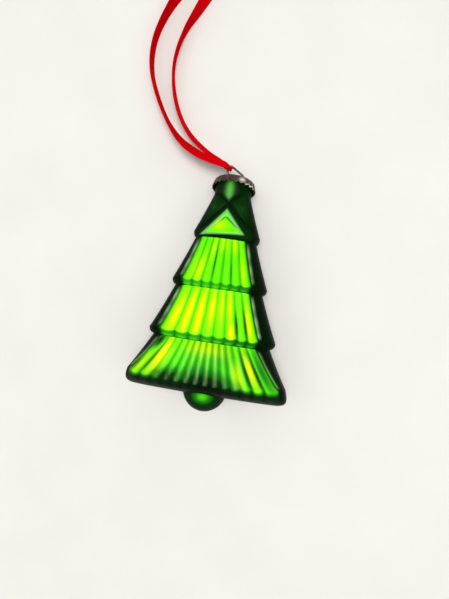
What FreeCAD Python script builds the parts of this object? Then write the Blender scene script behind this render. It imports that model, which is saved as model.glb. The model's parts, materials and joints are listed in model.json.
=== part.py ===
import FreeCAD, Part
import math
import os

# A hollow blown-glass tree ornament that lies on its back, with its crimped metal cap, the sprung
# wire hanger that holds the cap, and a ribbon loop knotted through the hanger's eye.
#
# The ornament is drawn in its own frame first: X across the tree, Y up the tree towards the cap
# with zero at the root of the neck, Z out of its front face. It is then laid on its back, where the
# bottom tier and the rim of the cap touch the ground. All lengths are in millimetres.

Vector = FreeCAD.Vector
ACROSS = Vector(1, 0, 0)
UP_TREE = Vector(0, 1, 0)
OUT_OF_FACE = Vector(0, 0, 1)
MIDDLE = Vector(0, 0, 0)

# Blown glass.
glass_wall = 1.1
neck_radius = 6.9
neck_rim_level = 3.6
neck_rim_slant = 7.0
neck_root_level = -1.0
# Each tier: the level of its lip, its half width and its half depth there, and its fullness, which
# is 2 for an ellipse and more for a squarer section.
tiers = [
    (-15.6, 12.1, 8.6, 2.5),
    (-34.0, 17.6, 10.0, 2.9),
    (-53.0, 23.4, 11.3, 3.1),
]
ledge_height = 2.0
ledge_narrowing = 0.92
lip_rounding = 0.5
hem_level = -69.0
hem_half_width = 29.4
hem_half_depth = 12.6
hem_fullness = 3.2
nose_height = 6.1
# Each step round the bottom edge: how far down the nose it is, and its half width.
nose_steps = [(0.5, 30.2), (0.8, 29.9), (0.95, 28.3)]
trunk_radius = 7.7
trunk_foot_level = -80.9
section_points = 32

# Crimped sheet-metal cap.
cap_metal = 0.3
cap_top_level = 4.6
cap_top_radius = 6.85
cap_shoulder_radius = 0.9
cap_rim_level = 1.6
cap_rim_radius = 8.1
crimp_count = 24
crimp_depth = 0.22
crimp_points = 4
cap_lean = 10.0
cap_setback = 0.4
hanger_hole_radius = 0.65

# Sprung wire hanger.
wire_radius = 0.4
leg_offset = 2.4
leg_tip_offset = 5.0
leg_tip_level = -12.0
leg_bend_level = 2.0
eye_root_level = 5.4
eye_right_offset = 2.9
eye_right_level = 7.5
eye_left_offset = -4.4
eye_left_level = 12.3
wire_bend = 1.2
eye_right_bend = 1.0
leg_bend = 3.0

# Ribbon, drawn as round cords with the flat ribbon's own section area.
ribbon_width = 5.0
ribbon_thickness = 0.3
cord_radius = math.sqrt(ribbon_width * ribbon_thickness / math.pi)
arc_share = 0.45

# How the ornament lies: the cap end is the lower one.
lying_slope = 3.74

# Routes of the two halves of the ribbon, from the hanger's eye to the knot, in the laid-down frame.
front_route = [
    (-2.2, 44.2, 7.5),
    (-2.2, 44.2, 9.1),
    (-4.2, 45.2, 9.6),
    (-8.7, 46.4, 8.7),
    (-15.4, 48.6, 6.9),
    (-23.9, 53.7, 4.9),
    (-30.8, 61.9, 3.3),
    (-36.1, 71.4, 2.6),
    (-39.9, 81.2, 2.6),
    (-40.1, 92.5, 2.5),
    (-36.4, 103.6, 2.2),
    (-30.8, 113.7, 1.9),
    (-24.6, 122.6, 1.8),
    (-18.6, 130.7, 2.0),
    (-15.2, 136.9, 2.6),
]
back_route = [
    (-2.2, 44.2, 7.5),
    (-2.2, 44.2, 5.7),
    (-4.2, 45.5, 4.8),
    (-7.8, 48.0, 4.3),
    (-13.7, 51.1, 3.9),
    (-20.2, 56.1, 3.3),
    (-25.9, 63.8, 2.7),
    (-29.6, 73.3, 2.5),
    (-31.2, 84.5, 2.5),
    (-28.8, 95.8, 2.3),
    (-23.6, 105.7, 1.4),
    (-19.2, 115.2, 0.9),
    (-15.8, 124.6, 1.2),
    (-13.2, 132.1, 1.9),
    (-13.2, 136.9, 2.6),
]

# Overhand knot in both halves of the ribbon, with two cut tails.
knot_centre = Vector(-14.2, 138.7, 2.8)
knot_radius = 2.8
knot_length = 6.4
knot_rounding = 2.0
tail_length = 12.0
tail_width = 4.4
tail_thickness = 0.5
tail_spread = 17.0


def level_section(level, half_width, half_depth, fullness):
    """A closed curve round the tree at one level."""
    power = 2.0 / fullness
    points = []
    for step in range(section_points):
        angle = 2 * math.pi * step / section_points
        across, out = math.cos(angle), math.sin(angle)
        x = half_width * math.copysign(abs(across) ** power, across)
        z = half_depth * math.copysign(abs(out) ** power, out)
        points.append(Vector(x, level, z))
    curve = Part.BSplineCurve()
    curve.interpolate(points, PeriodicFlag=True)
    return Part.Wire(curve.toShape())


def tree_levels(inset):
    """Level, half width, half depth and fullness of every section from the neck to the bottom edge."""
    levels = [
        (neck_rim_level + neck_radius, neck_radius, neck_radius, 2.0),
        (neck_root_level, neck_radius, neck_radius, 2.0),
    ]
    for lip, half_width, half_depth, fullness in tiers:
        under = lip - ledge_height
        levels.append((lip, half_width, half_depth, fullness))
        rounded_off = lip_rounding / 2
        levels.append((lip - lip_rounding, half_width - rounded_off, half_depth - rounded_off, fullness))
        levels.append((under, half_width * ledge_narrowing, half_depth * ledge_narrowing, fullness))
    levels.append((hem_level, hem_half_width, hem_half_depth, hem_fullness))
    for share, half_width in nose_steps:
        half_depth = hem_half_depth * math.sqrt(1 - share**2)
        levels.append((hem_level - (nose_height - inset) * share, half_width, half_depth, hem_fullness))
    return levels


def blown_form(inset):
    """The tree with its trunk bulb as a solid, smaller than the outside by inset."""
    sections = []
    for level, half_width, half_depth, fullness in tree_levels(inset):
        sections.append(level_section(level, half_width - inset, half_depth - inset, fullness))
    form = Part.makeLoft(sections, True, True)
    bulb = Part.makeSphere(trunk_radius - inset, Vector(0, trunk_foot_level + trunk_radius, 0), UP_TREE)
    return form.fuse(bulb)


def glass_body():
    """One hollow shell, open at the rim of the neck, which is cut off on a slant."""
    shell = blown_form(0).cut(blown_form(glass_wall))
    rim_middle = Vector(0, neck_rim_level, 0)
    above = Part.makeCylinder(2 * neck_radius, 2 * neck_radius, rim_middle, UP_TREE)
    above.rotate(rim_middle, ACROSS, -neck_rim_slant)
    return shell.cut(above)


def crimped_ring(level, radius, wave):
    """A closed wavy curve round the neck's axis."""
    points = []
    count = crimp_count * crimp_points
    for step in range(count):
        angle = 2 * math.pi * step / count
        reach = radius + wave * math.cos(crimp_count * angle)
        points.append(Vector(reach * math.cos(angle), level, reach * math.sin(angle)))
    curve = Part.BSplineCurve()
    curve.interpolate(points, PeriodicFlag=True)
    return Part.Wire(curve.toShape())


def crimped_skirt():
    """The pleated wall below the cap's shoulder."""
    top = cap_top_level - cap_shoulder_radius
    top_radius = cap_top_radius + cap_shoulder_radius
    outside = [crimped_ring(top, top_radius, 0.0), crimped_ring(cap_rim_level, cap_rim_radius, crimp_depth)]
    inside = [
        crimped_ring(top, top_radius - cap_metal, 0.0),
        crimped_ring(cap_rim_level, cap_rim_radius - cap_metal, crimp_depth),
    ]
    return Part.makeLoft(outside, True, True).cut(Part.makeLoft(inside, True, True))


def cap_crown():
    """The flat top and the rounded shoulder, as a turned shell."""
    shoulder_level = cap_top_level - cap_shoulder_radius
    outer = Part.makeTorus(cap_top_radius, cap_shoulder_radius, Vector(0, shoulder_level, 0), UP_TREE)
    middle = Part.makeCylinder(cap_top_radius, cap_shoulder_radius, Vector(0, shoulder_level, 0), UP_TREE)
    inner = Part.makeTorus(
        cap_top_radius, cap_shoulder_radius - cap_metal, Vector(0, shoulder_level, 0), UP_TREE
    )
    core = Part.makeCylinder(
        cap_top_radius, cap_shoulder_radius - cap_metal, Vector(0, shoulder_level, 0), UP_TREE
    )
    below_height = 2 * cap_shoulder_radius
    below = Part.makeCylinder(
        2 * cap_rim_radius, below_height, Vector(0, shoulder_level - below_height, 0), UP_TREE
    )
    return outer.fuse(middle).cut(inner.fuse(core)).cut(below)


def cap():
    """The crimped cap, sitting askew on the neck, with its two wire holes."""
    shell = cap_crown().fuse(crimped_skirt())
    shell.rotate(Vector(0, cap_top_level, 0), ACROSS, -cap_lean)
    shell.translate(Vector(0, 0, -cap_setback))
    for side in (-1, 1):
        start = Vector(side * leg_offset, cap_rim_level, 0)
        shell = shell.cut(Part.makeCylinder(hanger_hole_radius, cap_top_level, start, UP_TREE))
    return shell.removeSplitter()


def arc_between(before, corner, after, trim):
    """The arc that rounds a corner, from trim before it to trim after it, and its radius."""
    arriving = (corner - before).normalize()
    leaving = (after - corner).normalize()
    half_turn = arriving.getAngle(leaving) / 2
    radius = trim / math.tan(half_turn)
    inward = (leaving - arriving).normalize()
    start = corner - arriving * trim
    end = corner + leaving * trim
    middle = corner + inward * (radius / math.cos(half_turn) - radius)
    return Part.Arc(start, middle, end), start, end, radius


def rounded_path(points, trims):
    """Straight runs joined by tangent arcs, and the arcs' radii."""
    edges = []
    radii = []
    here = points[0]
    for place, trim in enumerate(trims, start=1):
        arc, start, end, radius = arc_between(points[place - 1], points[place], points[place + 1], trim)
        edges.append(Part.LineSegment(here, start).toShape())
        edges.append(arc.toShape())
        radii.append(radius)
        here = end
    edges.append(Part.LineSegment(here, points[-1]).toShape())
    return Part.Wire(edges), radii


def swept_tube(path, radius):
    """A round bar along a path."""
    start = path.Edges[0]
    disc = Part.Face(Part.Wire(Part.makeCircle(radius, start.Vertexes[0].Point, start.tangentAt(0))))
    return path.makePipe(disc)


def trim_for(before, corner, after, radius):
    """How far from a corner an arc of this radius begins."""
    return radius * math.tan((corner - before).getAngle(after - corner) / 2)


def hanger_wire():
    """One wire: an eye pulled over to the left above the cap, and two legs that spread inside the neck."""
    right_leg = [
        Vector(leg_tip_offset, leg_tip_level, 0),
        Vector(leg_offset, leg_bend_level, 0),
        Vector(leg_offset, eye_root_level, 0),
    ]
    left_leg = [Vector(-point.x, point.y, 0) for point in reversed(right_leg)]
    eye = [Vector(eye_right_offset, eye_right_level, 0), Vector(eye_left_offset, eye_left_level, 0)]
    points = right_leg + eye + left_leg
    bends = [leg_bend, wire_bend, eye_right_bend, wire_bend, wire_bend, leg_bend]
    trims = []
    for place, bend in enumerate(bends, start=1):
        trims.append(trim_for(points[place - 1], points[place], points[place + 1], bend))
    path, _ = rounded_path(points, trims)
    return swept_tube(path, wire_radius)


def ribbon_strand(name, route):
    """Half of the ribbon, from the hanger's eye to the knot."""
    points = [Vector(*point) for point in route]
    trims = []
    for place in range(1, len(points) - 1):
        before, corner, after = points[place - 1 : place + 2]
        trims.append(arc_share * min(before.distanceToPoint(corner), corner.distanceToPoint(after)))
    path, radii = rounded_path(points, trims)
    strand = swept_tube(path, cord_radius)
    expected = math.pi * cord_radius**2 * path.Length
    print(name, "length", round(path.Length, 1), "bend radii", [round(radius, 1) for radius in radii])
    print(name, "volume", round(strand.Volume, 2), "section times length", round(expected, 2))
    return strand


def knot_tail(turn):
    """One cut end of the ribbon, flat on the ground beyond the knot."""
    tail = Part.makeBox(
        tail_width, tail_length, tail_thickness, Vector(knot_centre.x - tail_width / 2, knot_centre.y, 0)
    )
    tail.rotate(Vector(knot_centre.x, knot_centre.y, 0), OUT_OF_FACE, turn)
    return tail


def ribbon_knot():
    """The knot as a rounded lump, with its two tails."""
    start = knot_centre - Vector(0, knot_length / 2, 0)
    lump = Part.makeCylinder(knot_radius, knot_length, start, UP_TREE)
    rims = [edge for edge in lump.Edges if edge.isClosed() and len(edge.Vertexes) == 1]
    knot = lump.makeFillet(knot_rounding, rims)
    for turn in (-tail_spread, tail_spread):
        knot = knot.fuse(knot_tail(turn))
    return knot


def lay_down(shapes):
    """Lays the ornament on its back, with its base's middle at the origin, and prints its axis."""
    for shape in shapes:
        shape.rotate(MIDDLE, ACROSS, -lying_slope)
    box = Part.makeCompound(shapes).optimalBoundingBox(True, False)
    shift = Vector(0, -box.Center.y, -box.ZMin)
    for shape in shapes:
        shape.translate(shift)
    turn = math.radians(lying_slope)
    print("tree axis towards the cap", (0, round(math.cos(turn), 6), round(-math.sin(turn), 6)))
    print("root of the neck at", [round(value, 3) for value in shift])


def main():
    os.makedirs("parts", exist_ok=True)
    pieces = {"glass_body": glass_body(), "cap": cap(), "hanger_wire": hanger_wire()}
    lay_down(list(pieces.values()))
    for name in ("glass_body", "cap"):
        print(name, "lowest point", round(pieces[name].optimalBoundingBox(True, False).ZMin, 3))
    pieces["ribbon_front_strand"] = ribbon_strand("ribbon_front_strand", front_route)
    pieces["ribbon_back_strand"] = ribbon_strand("ribbon_back_strand", back_route)
    pieces["ribbon_knot"] = ribbon_knot()
    for name, shape in pieces.items():
        shape.exportStep(f"parts/{name}.step")
        print(name, "valid", shape.isValid(), "solids", len(shape.Solids), "volume", round(shape.Volume, 1))


main()
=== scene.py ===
import json
import math
from collections import namedtuple

import bpy
import numpy as np
from mathutils import Matrix, Vector


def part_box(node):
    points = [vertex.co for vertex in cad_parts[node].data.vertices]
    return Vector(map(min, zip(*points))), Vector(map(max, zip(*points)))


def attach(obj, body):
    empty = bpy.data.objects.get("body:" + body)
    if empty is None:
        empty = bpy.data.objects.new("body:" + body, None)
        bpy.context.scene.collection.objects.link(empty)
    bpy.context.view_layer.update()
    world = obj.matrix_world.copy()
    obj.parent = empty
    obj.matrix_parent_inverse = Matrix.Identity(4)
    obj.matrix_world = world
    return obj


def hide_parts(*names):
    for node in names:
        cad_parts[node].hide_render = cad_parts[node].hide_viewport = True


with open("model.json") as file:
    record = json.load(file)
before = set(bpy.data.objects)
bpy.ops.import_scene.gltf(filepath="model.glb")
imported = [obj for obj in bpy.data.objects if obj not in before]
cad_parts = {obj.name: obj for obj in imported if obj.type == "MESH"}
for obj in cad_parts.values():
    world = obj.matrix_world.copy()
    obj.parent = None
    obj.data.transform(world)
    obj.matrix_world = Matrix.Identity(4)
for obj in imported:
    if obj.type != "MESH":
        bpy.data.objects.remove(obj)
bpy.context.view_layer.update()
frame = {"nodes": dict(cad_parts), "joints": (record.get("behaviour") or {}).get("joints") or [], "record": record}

# The ornament's own frame: X across the tree, "level" along its axis towards the cap with zero at
# the root of the neck, "out" away from its front face. Sizes in it are in millimetres.
MM = 0.001
EYE_LEVEL = 7.6
TREE_AXIS = -Vector(frame["joints"][0]["axis"]).normalized()
ACROSS = Vector((1.0, 0.0, 0.0))
OUT = ACROSS.cross(TREE_AXIS)
EYE = Vector(next(m["pos_m"] for m in frame["record"]["mounts"] if m["name"] == "hanger_eye"))
NECK_ROOT = EYE - TREE_AXIS * EYE_LEVEL * MM

# Glass.
WALL = 1.1
NECK_RADIUS = 6.9
RIM_LEVEL = 3.6
RIM_SLANT = math.radians(7.0)
NECK_BASE_LEVEL = -1.0
NECK_FLAT = 0.72
# Fullness of a section: 2 is round, and more is squarer.
ROUND = 2.0
HEM_LEVEL = -69.0
HEM_HALF_WIDTH = 29.4
HEM_HALF_DEPTH = 12.6
HEM_FULLNESS = 3.2
HEM_FLAT = 0.93
NOSE_HEIGHT = 6.1
NOSE_ROUNDING = 1.0
NOSE_END_DEPTH = 0.05
# The bottom edge's outline: share of the nose's height, half width.
NOSE_OUTLINE = [(0.0, 29.4), (0.3, 29.95), (0.5, 30.2), (0.7, 30.15), (0.85, 29.6), (0.95, 28.3), (1.0, 26.6)]
TRUNK_RADIUS = 8.1
TRUNK_FOOT_LEVEL = -81.3
TRUNK_TOP_ANGLE = 0.42 * math.pi
TIER_FLARE = 0.10
LEDGE_HEIGHT = 2.2
# The share of a tier's half width left below its ledge, and how much faster its depth narrows there.
LEDGE_SHARE = 0.92
LEDGE_DEPTH_RATE = 1.25
# Each tier: lip level, half width, half depth, fullness, share of the width that is flat face at its
# top and at its lip, number of ribs on that face, how much wider the outer ribs are, how much the ribs
# widen towards the left, and how far the ledge on the face stands above the lip's corners.
Tier = namedtuple("Tier", "lip half_width half_depth fullness flat_top flat_lip ribs fanning skew raised")
TIERS = [
    Tier(-15.6, 12.4, 8.6, 2.5, 0.72, 0.72, 0, 0.0, 0.0, -0.4),
    Tier(-34.0, 17.7, 10.0, 2.9, 0.72, 0.72, 7, 0.0, 0.0, 0.1),
    Tier(-53.0, 23.5, 11.3, 3.1, 0.76, 0.76, 8, 0.0, 0.105, 0.2),
    Tier(HEM_LEVEL, HEM_HALF_WIDTH, HEM_HALF_DEPTH, HEM_FULLNESS, 0.80, HEM_FLAT, 14, 0.15, 0.0, 0.0),
]
LAST_TIER = len(TIERS) - 1
NECK = -1
RIB_DEPTH = 0.55
RIB_SCALLOP = 0.5
RIB_BLUNTNESS = 0.7
# The ribbed faces and the raised panel sit a little to the left, and the panel is slightly turned.
FACE_MIDDLE = -0.4
PANEL_APEX_LEVEL = -7.2
PANEL_BASE_LEVEL = -16.0
PANEL_BASE_STEEPNESS = 1.8
PANEL_BASE_MARGIN = 0.4
PANEL_HALF_WIDTH = 8.4
PANEL_SLANT = 0.10
PANEL_RIGHT_NARROWING = 1.18
PANEL_HEIGHT = 0.4
# Slanted valleys: millimetres across for each one up, and the cosine of that slope.
CROSSING_LEVEL = -4.8
UPPER_VALLEY = (-1.05, 0.69)
LOWER_VALLEY = (0.98, 0.71)
VALLEY_WIDTH = 0.95
VALLEY_DEPTH = 0.55
CHEVRON = (1.15, 0.66)
CHEVRON_LEVEL = -9.9
CHEVRON_WIDTH = 0.3
CHEVRON_DEPTH = 0.3
# Rows and columns of the glass's mesh. The inside takes every fourth of the outside's.
NECK_ROWS = 14
TIER_ROWS = 50
LEDGE_ROWS = 17
NOSE_ROWS = 22
TRUNK_ROWS = 40
TRUNK_COLUMNS = 96
FACE_COLUMNS = 181
WALL_COLUMNS = 24
WALL_BUNCHING = 1.5
INNER_STEP = 4
THINNEST_INSIDE = 0.3

# Lacquer green with painted light and shade: brightness from 0, near black, where painted in shade, to 1, lime,
# where painted lit.
WALL_BRIGHT = 0.03
GROOVE_BRIGHT = 0.60
CREST_BRIGHT = 0.27
INNER_BRIGHT = 0.1
HEM_CENTRE_SHADE = 0.26
HEM_CENTRE_WIDTH = 0.5
HEM_UNDER_SHADE = 0.9
LEDGE_SHADE = 0.34
LEDGE_SHADE_RIGHT = 0.18
LEDGE_SHADE_STEP = 0.08
LEDGE_GLINT = 0.22
LEDGE_GLINT_PLACE = 1.62
LEDGE_GLINT_WIDTH = 0.16
YELLOW_IN_GROOVES = 0.4
# The pale painted highlight along each rounded corner: how far outside the face it runs, its width,
# how bright it is on the hem and on the right of the other tiers, and how pale, with a slow ripple.
CORNER_LINE = 0.9
CORNER_LINE_WIDTH = 0.4
HEM_LINE_BRIGHT = 0.55
RIGHT_LINE_BRIGHT = 0.45
HEM_LINE_PALE = 0.25
LINE_PALE = 0.46
LINE_PALE_RIPPLE = 0.16
LINE_RIPPLE_RATE = 1.1
# Pale painted highlights along the ridges in the middle of the hem, with a ripple across and along them.
RIDGE_PALE = 0.12
RIDGE_PALE_RIPPLE = 0.2
RIDGE_RIPPLE_ACROSS = 1.9
RIDGE_RIPPLE_ALONG = 0.4
RIDGE_SHARPNESS = 10
# The neck's painted shade, and the painted highlight down it.
HIGHLIGHT_PLACE = -0.1
HIGHLIGHT_WIDTH = 0.24
HIGHLIGHT_TAPER = 0.1
NECK_BRIGHT = 0.08
NECK_HIGHLIGHT_BRIGHT = 0.42
HIGHLIGHT_BRIGHT = 0.36
HIGHLIGHT_PALE = 0.18
# The top tier's painted light and shade: its own brightness, its panel with a brighter core and a
# pale painted highlight along its edge, and the two facets, painted lighter.
TOP_BRIGHT = 0.14
TOP_DARKEST = 0.02
PANEL_BRIGHT = 0.45
CORE_BRIGHT = 0.20
CHEVRON_SHADE = 0.40
VALLEY_SHADE = 0.10
TOP_SIDE_SHADE = 0.75
TOP_UNDER_SHADE = 0.3
PANEL_EDGE_PALE = 0.42
PANEL_CORNER_PALE = 0.6
PANEL_CORNER_SIDE = 6.9
PANEL_CORNER_LEVEL = -14.6
PANEL_CORNER_WIDTH = 1.1
PANEL_CORNER_HEIGHT = 0.9
FACET_BRIGHT = 0.09
FACET_SIDE = 5.0
FACET_LEVEL = -6.6
FACET_WIDTH = 2.0
FACET_HEIGHT = 2.4
# The painted highlight, a soft glow, on the front of the trunk.
TRUNK_BRIGHT = 0.08
TRUNK_GLOW = 0.58
TRUNK_GLOW_X = 0.4
TRUNK_GLOW_LEVEL = -74.9
TRUNK_GLOW_WIDTH = 3.4
TRUNK_GLOW_HEIGHT = 2.4

# Painted yellow glints: tier, place across as a share of the flat face's half width, level, half width
# of the patch as that share, its half height in millimetres, and how strong it is.
GLINT_PATCHES = [
    (0, -0.25, -13.0, 0.25, 1.8, 0.45),
    (1, -0.62, -30.0, 0.20, 5.0, 0.55),
    (1, -0.30, -22.0, 0.09, 4.0, 0.5),
    (1, 0.10, -20.0, 0.16, 2.5, 0.5),
    (1, 0.55, -20.0, 0.16, 2.5, 0.5),
    (1, 0.82, -29.0, 0.08, 5.0, 0.45),
    (2, -0.80, -47.0, 0.11, 7.0, 0.9),
    (2, -0.53, -46.0, 0.09, 8.0, 1.0),
    (2, -0.26, -46.0, 0.09, 8.0, 1.0),
    (2, 0.02, -43.0, 0.09, 6.0, 0.9),
    (2, 0.24, -42.0, 0.08, 6.0, 0.5),
    (2, 0.44, -42.0, 0.08, 6.0, 0.6),
    (2, 0.49, -51.0, 0.07, 3.5, 0.9),
    (2, 0.88, -47.0, 0.06, 6.0, 0.8),
    (3, -0.72, -62.0, 0.10, 6.0, 1.0),
    (3, -0.93, -66.0, 0.05, 4.0, 0.6),
    (3, 0.00, -57.5, 0.40, 2.5, 0.5),
    (3, 0.52, -65.0, 0.06, 4.0, 0.8),
    (3, 0.74, -62.0, 0.06, 5.0, 0.9),
]
# Patches of painted shade, darker, given the same way.
SHADE_PATCHES = [
    (1, 0.0, -26.0, 4.0, 40.0, 0.08),
    (1, -0.14, -27.0, 0.03, 6.0, 0.45),
    (1, 0.43, -30.0, 0.03, 5.0, 0.4),
    (2, 0.60, -49.0, 0.035, 5.0, 0.7),
    (2, 0.80, -48.0, 0.035, 6.0, 0.65),
    (3, -0.82, -64.0, 0.035, 6.0, 0.6),
    (3, 0.66, -64.0, 0.035, 7.0, 0.7),
    (3, 0.82, -64.0, 0.035, 7.0, 0.75),
    (3, 0.74, -58.0, 0.06, 3.0, 0.35),
    (3, 0.92, -63.0, 0.07, 9.0, 0.5),
    (3, -0.97, -67.0, 0.05, 4.0, 0.5),
    (3, -0.93, -57.0, 0.08, 3.0, 0.75),
    (3, 0.40, -60.0, 0.30, 8.0, 0.12),
    (3, 0.05, -70.0, 0.42, 4.5, 0.9),
    (3, -0.45, -69.0, 0.25, 3.2, 0.75),
]

# Cap.
CAP_METAL = 0.3
CAP_TOP_LEVEL = 4.6
CAP_TOP_BAND = 0.5
CAP_TOP_RADIUS = 6.85
CAP_CENTRE_RADIUS = 0.3
CAP_SHOULDER = 0.9
CAP_RIM_LEVEL = 1.6
CAP_RIM_RADIUS = 8.1
CAP_TOP_ROWS = 12
CAP_SHOULDER_ROWS = 8
CAP_SKIRT_ROWS = 14
CRIMPS = 24
CRIMP_COLUMNS = 10
CRIMP_DEPTH = 0.2
CRIMP_BLUNTNESS = 0.7
SHOULDER_CRIMP = 0.25
SCALLOP_DEPTH = 0.22
SCALLOP_REACH = 0.8
CAP_LEAN = math.radians(10.0)
CAP_SETBACK = 0.4
WIRE_HOLE_OFFSET = 2.4
WIRE_HOLE_RADIUS = 0.65
DRILL_LENGTH = 2.0
DRILL_SIDES = 32
# Painted glints on the cap: angle round it, level, half width as an angle, half height.
GLINT_SPOT = (math.radians(64.0), 2.9, 0.13, 0.75)
GLINT_RIM = (math.radians(38.0), CAP_RIM_LEVEL + 0.15, 0.34, 0.35)
GLINT_RIM_STRENGTH = 0.85
# The cap's and the wire's dark brown is a painted reflection of dark brown surroundings; the noise between the
# dark and the light tone is cloudy tarnish.
CAP_TARNISH_AND_REFLECTION = (0.05, 0.033, 0.029)
CAP_SHINE = (0.13, 0.092, 0.08)
CAP_ROUGHNESS = 0.25
WIRE_TARNISH_AND_REFLECTION = (0.03, 0.02, 0.018)
WIRE_SHINE = (0.24, 0.19, 0.165)
WIRE_ROUGHNESS = 0.22

# Ribbon, in metres.
RIBBON_WIDTH = 0.005
RIBBON_THICKNESS = 0.00028
RIBBON_STEP = 0.0004
RIBBON_COLUMNS = 13
EDGE_THINNING = 0.35
EDGE_SHARPNESS = 12
# The place across the ribbon, squared, that its curl leaves where it was.
CURL_REST = 0.4
FLOOR_GAP = 0.00015
# Share of the width lost by gathering: towards the eye, towards the knot, and where it is threaded
# through the eye, to clear the wire.
EYE_GATHER = 0.5
KNOT_GATHER = 0.58
THREADED_NARROWING = 0.5
RIBBON_CURL = 0.0002
EYE_CURL = 0.0005
# How level a strand has to run, as a share, before its own direction steers its width.
LEVEL_SHARE = 0.6

# Knot, in metres: its middle's place from the near end of its CAD solid and above the ground, the band
# wound round it, and its two tails with the side each goes to.
KNOT_INSET = 0.0032
KNOT_HEIGHT = 0.0028
BAND_TURNS = 1.75
BAND_START = 0.6
BAND_POINTS = 120
BAND_RADIUS = 0.00205
BAND_BULGE = 0.0003
BAND_WIDENING = 1.12
BAND_LENGTH = 0.0022
BAND_LEAN = (0.18, 1.0, 0.1)
BAND_WIDTH = 0.0036
BAND_CURL = 0.0005
TAILS = ((-1, 0.0118), (1, 0.0108))
TAIL_POINTS = 60
TAIL_SPREAD = math.radians(17.0)
TAIL_START = 0.0008
TAIL_FALL = 0.0023
TAIL_HEIGHT = 0.00055
TAIL_WAVE = 0.0003
TAIL_WAVES = 7
TAIL_TILT = 0.15
TAIL_NARROW_WIDTH = 0.0032
TAIL_WIDENING = 0.0014
TAIL_CURL = 0.0003

# Ribbon routes, in metres in the row frame: the same points as the CAD cords'.
FRONT_ROUTE = [
    (-0.0022, 0.0442, 0.0075),
    (-0.0022, 0.0442, 0.0091),
    (-0.0042, 0.0452, 0.0096),
    (-0.0087, 0.0464, 0.0087),
    (-0.0154, 0.0486, 0.0069),
    (-0.0239, 0.0537, 0.0049),
    (-0.0308, 0.0619, 0.0033),
    (-0.0361, 0.0714, 0.0026),
    (-0.0399, 0.0812, 0.0026),
    (-0.0401, 0.0925, 0.0025),
    (-0.0364, 0.1036, 0.0022),
    (-0.0308, 0.1137, 0.0019),
    (-0.0246, 0.1226, 0.0018),
    (-0.0186, 0.1307, 0.0020),
    (-0.0152, 0.1369, 0.0026),
]
BACK_ROUTE = [
    (-0.0022, 0.0442, 0.0075),
    (-0.0022, 0.0442, 0.0057),
    (-0.0042, 0.0455, 0.0048),
    (-0.0078, 0.0480, 0.0043),
    (-0.0137, 0.0511, 0.0039),
    (-0.0202, 0.0561, 0.0033),
    (-0.0259, 0.0638, 0.0027),
    (-0.0296, 0.0733, 0.0025),
    (-0.0312, 0.0845, 0.0025),
    (-0.0288, 0.0958, 0.0023),
    (-0.0236, 0.1057, 0.0014),
    (-0.0192, 0.1152, 0.0009),
    (-0.0158, 0.1246, 0.0012),
    (-0.0132, 0.1321, 0.0019),
    (-0.0132, 0.1369, 0.0026),
]
# Tilt of the ribbon along each strand: distance from the eye in metres, degrees from lying flat.
FRONT_TILTS = [
    (0.0, 0), (0.006, 20), (0.012, 39), (0.018, 48), (0.022, 52), (0.026, 60), (0.031, 70), (0.036, 77),
    (0.046, 80), (0.056, 84), (0.066, 86), (0.074, 86), (0.08, 82), (0.086, 73), (0.095, 57), (0.108, 33),
    (0.121, 12),
]
BACK_TILTS = [
    (0.0, 0), (0.006, 42), (0.012, 58), (0.018, 63), (0.022, 65), (0.026, 71), (0.031, 76), (0.041, 83),
    (0.048, 90), (0.056, 94), (0.064, 94), (0.07, 86), (0.076, 72), (0.081, 62), (0.09, 42), (0.1, 22),
    (0.111, 8),
]

# Camera: above the table, a little right of the ornament's middle, with the tree leaning right.
CAMERA_PLACE = Vector((0.0211, 0.0019, 0.179))
CAMERA_TARGET = Vector((0.0013, -0.0048, 0.0))
CAMERA_ROLL = math.radians(7.9)
SENSOR_HEIGHT = 24.0
FOCAL_LENGTH = 18.23
CLIP_START = 0.005

# Studio, in metres: the floor's rings as radius and height, and how far it lies below the ornament.
FLOOR_RINGS = [(0.35, 0.0), (0.7, 0.0), (0.9, 0.03), (1.2, 0.18), (1.6, 0.5), (2.6, 1.6), (6.0, 5.6)]
FLOOR_COLUMNS = 64
FLOOR_DROP = 0.00002
SUN_SPREAD = math.radians(32.0)
SUN_POWER = 2.4
SUN_COLOUR = (1.0, 0.98, 0.94)
SUN_DIRECTION = Vector((-0.06, -0.05, -0.62))
FILL_SIZE = 0.5
FILL_POWER = 0.9
SKY_STRENGTH = 0.5


def smooth(value, low, high):
    """0 below low, 1 above high, and an even curve between."""
    share = np.clip((value - low) / (high - low), 0.0, 1.0)
    return share * share * (3 - 2 * share)


def to_row(x, level, out):
    """Points of the ornament's own frame, in millimetres, as an array of points in the row frame."""
    x, level, out = np.broadcast_arrays(x, level, out)
    points = np.stack([x, level, out], axis=-1) * MM
    basis = np.array([ACROSS, TREE_AXIS, OUT])
    return points @ basis + np.array(NECK_ROOT)


def grid_faces(rows, columns, start=0):
    """Quads of a grid of points whose rows close into rings."""
    row, column = np.meshgrid(np.arange(rows - 1), np.arange(columns), indexing="ij")
    after = (column + 1) % columns
    here = row * columns
    below = here + columns
    corners = [here + column, here + after, below + after, below + column]
    return (np.stack(corners, axis=-1).reshape(-1, 4) + start).tolist()


def add_piece(name, points, faces, material):
    """A smooth-shaded mesh object with one material."""
    mesh = bpy.data.meshes.new(name)
    mesh.from_pydata([tuple(p) for p in np.asarray(points).reshape(-1, 3)], [], faces)
    mesh.validate()
    mesh.shade_smooth()
    mesh.materials.append(material)
    piece = bpy.data.objects.new(name, mesh)
    bpy.context.scene.collection.objects.link(piece)
    return piece


def paint(piece, name, values):
    """A number for each point of a mesh, for its material to read."""
    layer = piece.data.attributes.new(name, "FLOAT", "POINT")
    layer.data.foreach_set("value", np.asarray(values, np.float32).ravel())


# Materials.

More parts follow.
